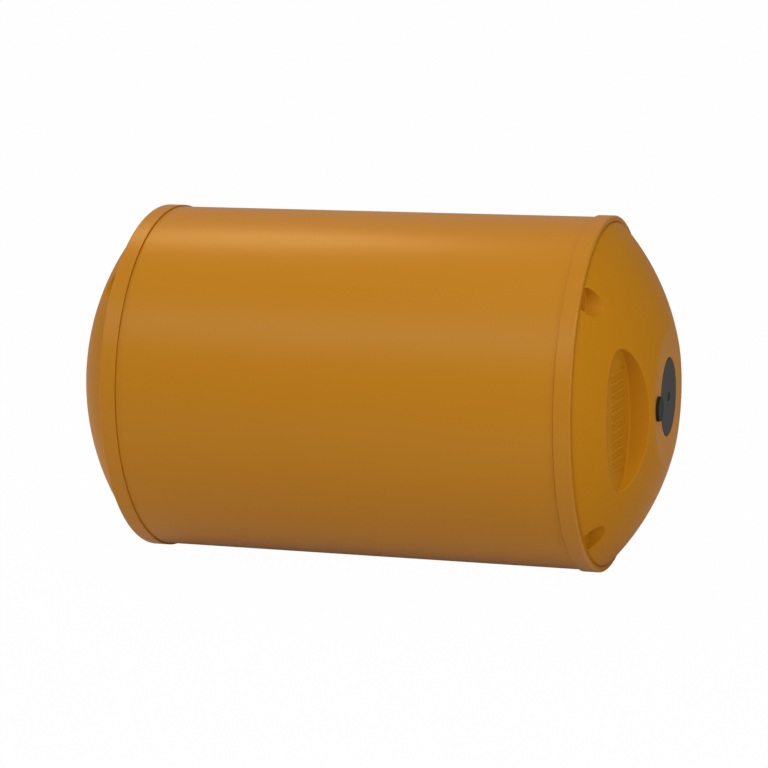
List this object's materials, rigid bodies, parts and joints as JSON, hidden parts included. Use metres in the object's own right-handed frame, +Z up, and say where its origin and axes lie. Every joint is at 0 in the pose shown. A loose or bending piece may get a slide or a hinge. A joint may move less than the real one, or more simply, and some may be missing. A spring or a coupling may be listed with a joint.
{
  "type": "barrier float",
  "caption": "Cylindrical floating barrier section: a straight barrel with domed end caps, proud rim bands, a recess and drive notches in each cap, a flush screw plug and a small vent cap.",
  "frame": {"origin": "the middle of the barrel, on its axis", "axes": "X along the barrel, +X towards the end with the plug; -Y towards the recess of the port cap; Z up"},
  "size_m": [1.0155, 0.606, 0.606],
  "materials": {
    "barrel_plastic": "satin, faintly drawn along its length",
    "cap_plastic": "fine moulded texture",
    "foam": "closed-cell foam, matt",
    "plug_plastic": "fine moulded texture",
    "seal_rubber": "matt",
    "vent_plastic": "fine moulded texture"
  },
  "bodies": {
    "root": {"barrel": "barrel_plastic", "end_cap_port": "cap_plastic", "end_cap_plain": "cap_plastic", "foam_core": "foam", "fill_plug": "plug_plastic", "plug_seal": "seal_rubber", "vent_cap": "vent_plastic"}
  },
  "joints": []
}
